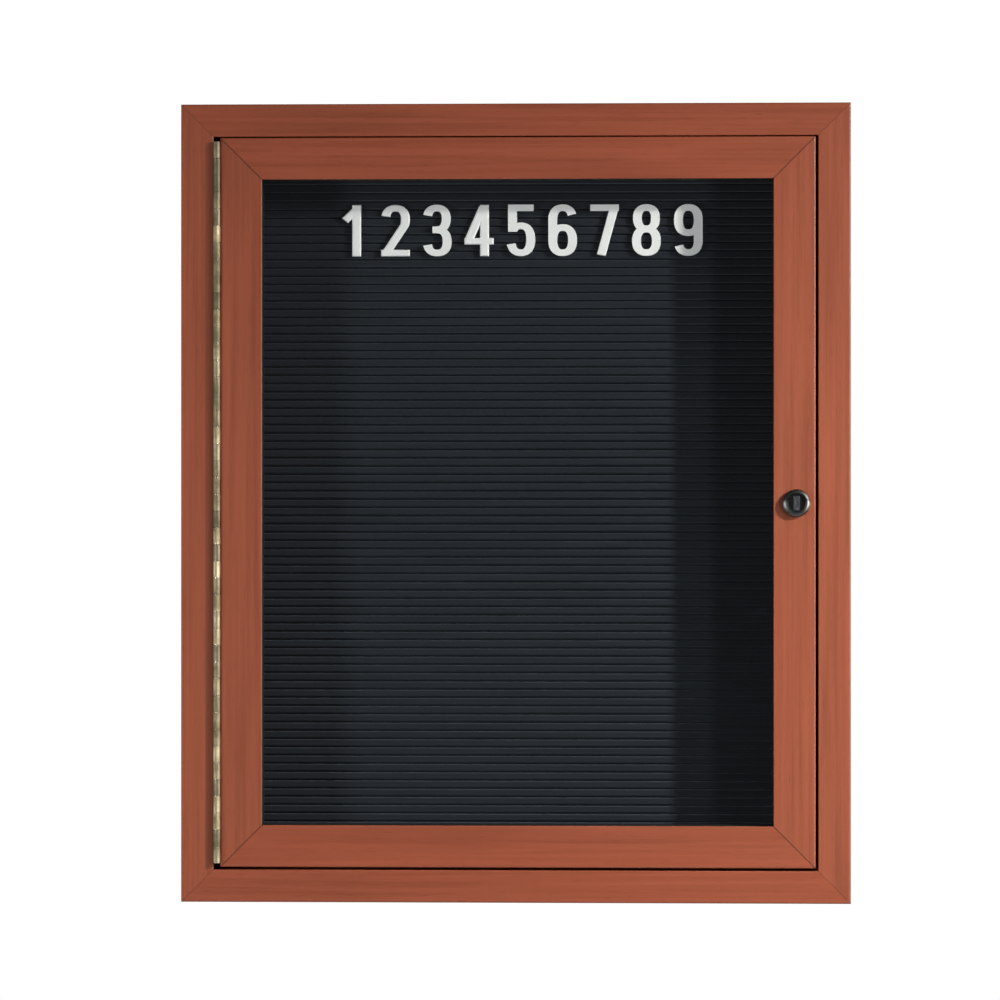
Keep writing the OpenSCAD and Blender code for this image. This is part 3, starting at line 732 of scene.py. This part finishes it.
# Draw lines are 0.05 mm wide; they are drawn 0.4 mm wide and 60 mm long
drawn_place = add(tree, "ShaderNodeMapping", {"Vector": place}, Scale=(2500, 2500, 16))
draw_lines = add(tree, "ShaderNodeTexNoise", {"Vector": drawn_place.outputs[0]}, Scale=1, Detail=2)
# Tarnish lies in clouds 18 mm across
tarnish = add(tree, "ShaderNodeTexNoise", {"Vector": place}, Scale=55, Detail=4, Roughness=0.65)
brass_tone = add(
    tree,
    "ShaderNodeValToRGB",
    {0: tarnish.outputs[0]},
    stops=[(0.36, linear("#958b6d")), (0.5, linear("#b0a587")), (0.66, linear("#c3b99b"))],
)
polish = add(
    tree,
    "ShaderNodeMapRange",
    {"Value": tarnish.outputs[0]},
    From_Min=0.35,
    From_Max=0.65,
    To_Min=0.78,
    To_Max=0.62,
)
# Each knuckle was rolled on its own: its tone and the lie of its surface differ a little from its neighbours'
from_pin = add(
    tree,
    "ShaderNodeVectorMath",
    {0: place},
    operation="SUBTRACT",
    input1=((pin_low.x + pin_high.x) / 2, (pin_low.y + pin_high.y) / 2, leaf_low.z),
)
across = add(tree, "ShaderNodeVectorMath", {0: from_pin.outputs[0]}, operation="MULTIPLY", input1=(1, 1, 0))
radius = add(tree, "ShaderNodeVectorMath", {0: across.outputs[0]}, operation="LENGTH")
barrel = add(tree, "ShaderNodeMath", {0: radius.outputs["Value"]}, operation="LESS_THAN", input1=barrel_reach)
up_barrel = add(tree, "ShaderNodeSeparateXYZ", {0: from_pin.outputs[0]})
steps = add(tree, "ShaderNodeMath", {0: up_barrel.outputs["Z"]}, operation="DIVIDE", input1=knuckle_step)
number = add(tree, "ShaderNodeMath", {0: steps.outputs[0]}, operation="FLOOR")
chance = add(tree, "ShaderNodeTexWhiteNoise", {"W": number.outputs[0]}, noise_dimensions="1D")
own_tone = add(tree, "ShaderNodeMapRange", {"Value": chance.outputs["Value"]}, To_Min=0.62, To_Max=1.12)
# Painted shade: the barrel's top 40 mm are painted darker, down to 0.62 of their tone
painted_top_shade = add(
    tree,
    "ShaderNodeMapRange",
    {"Value": up_barrel.outputs["Z"]},
    interpolation_type="SMOOTHSTEP",
    From_Min=barrel_length - 0.046,
    From_Max=barrel_length - 0.036,
    To_Min=1.0,
    To_Max=0.62,
)
random_tone_and_top_shade = add(
    tree, "ShaderNodeMath", {0: own_tone.outputs[0], 1: painted_top_shade.outputs[0]}, operation="MULTIPLY"
)
tone_here = add(
    tree,
    "ShaderNodeMix",
    {0: barrel.outputs[0], 3: random_tone_and_top_shade.outputs[0]},
    data_type="FLOAT",
    input2=1,
)
knuckle_tone = add(
    tree,
    "ShaderNodeMix",
    {6: brass_tone.outputs[0], 7: tone_here.outputs[0]},
    data_type="RGBA",
    blend_type="MULTIPLY",
    input0=1,
)
either_way = add(
    tree,
    "ShaderNodeVectorMath",
    {0: chance.outputs["Color"]},
    operation="SUBTRACT",
    input1=(0.5, 0.5, 0.5),
)
own_lie = add(
    tree, "ShaderNodeVectorMath", {0: either_way.outputs[0]}, operation="MULTIPLY", input1=(0.5, 0, 0.12)
)
lie_here = add(tree, "ShaderNodeVectorMath", {0: own_lie.outputs[0]}, operation="SCALE")
tree.links.new(barrel.outputs[0], lie_here.inputs["Scale"])
surface_way = add(tree, "ShaderNodeNewGeometry")
leaning_way = add(
    tree,
    "ShaderNodeVectorMath",
    {0: surface_way.outputs["Normal"], 1: lie_here.outputs[0]},
    operation="ADD",
)
rolled_way = add(tree, "ShaderNodeVectorMath", {0: leaning_way.outputs[0]}, operation="NORMALIZE")
# Rolling leaves the barrel a little wavy, in waves some 20 mm long
wander = add(tree, "ShaderNodeTexNoise", {"Vector": place}, Scale=48, Detail=1)
dents = add(
    tree,
    "ShaderNodeBump",
    {"Height": wander.outputs[0], "Normal": rolled_way.outputs[0]},
    Strength=0.6,
    Distance=0.0006,
)
scored = add(
    tree,
    "ShaderNodeBump",
    {"Height": draw_lines.outputs[0], "Normal": dents.outputs[0]},
    Strength=0.1,
    Distance=0.0001,
)
strip = add(
    tree,
    "ShaderNodeBsdfPrincipled",
    {"Base Color": knuckle_tone.outputs[2], "Roughness": polish.outputs[0], "Normal": scored.outputs[0]},
    Metallic=1,
)
add(tree, "ShaderNodeOutputMaterial", {0: strip.outputs[0]})
dress(nickel_brass, "hinge_fixed_leaf", "hinge_door_leaf", "hinge_fixed_screws", "hinge_door_screws")

# Drawn wire is smooth and bright, with a warm tinge from its oil
bright_wire = steel_finish("bright_steel_wire", "#b9b7ae", "#d3d1c8", 0.22, 5)
dress(bright_wire, "hinge_pin")

# ---------------------------------------------------------------------------
# Door members. Four hollow aluminium extrusions in the same cherry film, mitred and drawn tight by corner
# keys that are screwed from behind. The film's cut edges leave a thin dark line at each mitre, and the lip
# behind the pane is black.

door_mitre_shade = 0.5
door_mitre = (*outline("door_top", "door_bottom", "door_left", "door_right"), door_mitre_shade)
# The members' faces are 31.6 mm wide; the black lip starts at their inner edge, just behind the pane's face
lip_inset = 0.0313
lip_front_y = -0.0545
door_lip = (lip_inset, lip_front_y)
level_door_film = cherry_film("cherry_film_door_level", "X", *level_woods, door_mitre, lip=door_lip)
upright_door_film = cherry_film("cherry_film_door_upright", "Z", *upright_woods_with_painted_sheen, door_mitre, lip=door_lip)
dress(level_door_film, "door_top", "door_bottom")
dress(upright_door_film, "door_left", "door_right")
dress(stamped_zinc, "door_corner_keys")
dress(turned_zinc, "door_key_screws")

# ---------------------------------------------------------------------------
# Glazing. Clear float glass, 3.2 mm thick, in a black vinyl channel that is pushed into the members' groove.
# The glass shows only by a faint mirror that grows at grazing angles, the vinyl as a dull black line.

glass, tree = empty_material("clear_float_glass")
# One face's mirror stands for both, so its index is a little above that of glass, 1.52
facing = add(tree, "ShaderNodeFresnel", IOR=1.55)
side = add(tree, "ShaderNodeNewGeometry")
front = add(tree, "ShaderNodeMath", {1: side.outputs["Backfacing"]}, operation="SUBTRACT", input0=1)
mirrored = add(tree, "ShaderNodeMath", {0: facing.outputs[0], 1: front.outputs[0]}, operation="MULTIPLY")
through = add(tree, "ShaderNodeBsdfTransparent", Color=linear("#fdfefd"))
shine = add(tree, "ShaderNodeBsdfGlossy", Color=(1, 1, 1, 1), Roughness=0.02)
sheet_glass = add(
    tree, "ShaderNodeMixShader", {0: mirrored.outputs[0], 1: through.outputs[0], 2: shine.outputs[0]}
)
add(tree, "ShaderNodeOutputMaterial", {0: sheet_glass.outputs[0]})
dress(glass, "glass_pane")

vinyl, tree = empty_material("extruded_black_vinyl")
place = add(tree, "ShaderNodeTexCoord").outputs["Object"]
# Plasticiser blooms on the vinyl in spots 5 mm across
bloom = add(tree, "ShaderNodeTexNoise", {"Vector": place}, Scale=200, Detail=2)
vinyl_tone = add(
    tree,
    "ShaderNodeValToRGB",
    {0: bloom.outputs[0]},
    stops=[(0.3, linear("#18191a")), (0.7, linear("#232426"))],
)
channel = add(tree, "ShaderNodeBsdfPrincipled", {"Base Color": vinyl_tone.outputs[0]}, Roughness=0.5)
add(tree, "ShaderNodeOutputMaterial", {0: channel.outputs[0]})
dress(vinyl, "glazing_gasket")

# ---------------------------------------------------------------------------
# Cam lock. Die-cast zinc housing with a domed bezel, drawn against the door's face by a nut. Its chromium
# plate is dull and smoky; a painted highlight band keeps it bright level with the plug and darker above and
# below, and painted shade darkens its inner slope. The plug is black, with a steel dust shutter over its
# keyway, and carries the cam behind the door.

lock_low, lock_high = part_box("lock_housing")
lock_axis = (lock_low + lock_high) / 2
bezel_radius = (lock_high.x - lock_low.x) / 2

chrome, tree = empty_material("chromium_plated_zinc")
place = add(tree, "ShaderNodeTexCoord").outputs["Object"]
# Handling marks, drawn 1.5 mm across
marks = add(tree, "ShaderNodeTexNoise", {"Vector": place}, Scale=650, Detail=3)
chrome_tone = add(
    tree,
    "ShaderNodeValToRGB",
    {0: marks.outputs[0]},
    stops=[(0.3, linear("#878986")), (0.7, linear("#9fa19d"))],
)
# Height on the bezel, from 0 at its bottom to 1 at its top
from_lock = add(tree, "ShaderNodeVectorMath", {0: place}, operation="SUBTRACT", input1=lock_axis)
upward = add(tree, "ShaderNodeSeparateXYZ", {0: from_lock.outputs[0]})
height = add(
    tree,
    "ShaderNodeMapRange",
    {"Value": upward.outputs["Z"]},
    From_Min=-bezel_radius,
    From_Max=bezel_radius,
)
# Painted highlight: share of the plate's tone kept at each height, full level with the plug, darker above and
# below
painted_highlight_band = add(
    tree,
    "ShaderNodeValToRGB",
    {0: height.outputs[0]},
    stops=[
        (0.18, (0.42, 0.42, 0.42, 1)),
        (0.36, (1, 1, 1, 1)),
        (0.5, (1, 1, 1, 1)),
        (0.61, (0.2, 0.2, 0.2, 1)),
    ],
)
# Painted shade darkens the bezel's inner slope and fades out between 7.3 and 8.2 mm from the axis
sideways = add(
    tree, "ShaderNodeVectorMath", {0: from_lock.outputs[0]}, operation="MULTIPLY", input1=(1, 0, 1)
)
reach = add(tree, "ShaderNodeVectorMath", {0: sideways.outputs[0]}, operation="LENGTH")
painted_inner_shade = add(
    tree,
    "ShaderNodeMapRange",
    {"Value": reach.outputs["Value"]},
    From_Min=0.0073,
    From_Max=0.0082,
    To_Min=0.35,
    To_Max=1.0,
)
tone_with_highlight_band = add(
    tree,
    "ShaderNodeMix",
    {6: chrome_tone.outputs[0], 7: painted_highlight_band.outputs[0]},
    data_type="RGBA",
    blend_type="MULTIPLY",
    input0=1,
)
tone_with_inner_shade = add(
    tree,
    "ShaderNodeMix",
    {6: tone_with_highlight_band.outputs[2], 7: painted_inner_shade.outputs[0]},
    data_type="RGBA",
    blend_type="MULTIPLY",
    input0=1,
)
haze = add(
    tree,
    "ShaderNodeMapRange",
    {"Value": marks.outputs[0]},
    From_Min=0.4,
    From_Max=0.7,
    To_Min=0.46,
    To_Max=0.54,
)
bright = add(
    tree,
    "ShaderNodeBsdfPrincipled",
    {"Base Color": tone_with_inner_shade.outputs[2], "Roughness": haze.outputs[0]},
    Metallic=1,
)
add(tree, "ShaderNodeOutputMaterial", {0: bright.outputs[0]})
dress(chrome, "lock_housing")
dress(turned_zinc, "lock_nut", "lock_cam_screw")
dress(stamped_zinc, "lock_cam")

# Stoved enamel on the plug: deep black and glossy, clouded every 1.1 mm, with small sharp highlights
black_enamel, tree = empty_material("black_enamelled_zinc")
place = add(tree, "ShaderNodeTexCoord").outputs["Object"]
skin = add(tree, "ShaderNodeTexNoise", {"Vector": place}, Scale=900, Detail=2)
enamel_tone = add(
    tree,
    "ShaderNodeValToRGB",
    {0: skin.outputs[0]},
    stops=[(0.3, linear("#0b0b0c")), (0.7, linear("#151516"))],
)
enamel = add(
    tree, "ShaderNodeBsdfPrincipled", {"Base Color": enamel_tone.outputs[0]}, Roughness=0.28, IOR=1.5
)
add(tree, "ShaderNodeOutputMaterial", {0: enamel.outputs[0]})
dress(black_enamel, "lock_plug")

# The shutter is stainless strip, scuffed by use: mid grey, clouded every 1.6 mm
worn_shutter = steel_finish("worn_stainless_shutter", "#5c5e61", "#8d8f92", 0.42, 1.6)
dress(worn_shutter, "lock_shutter")
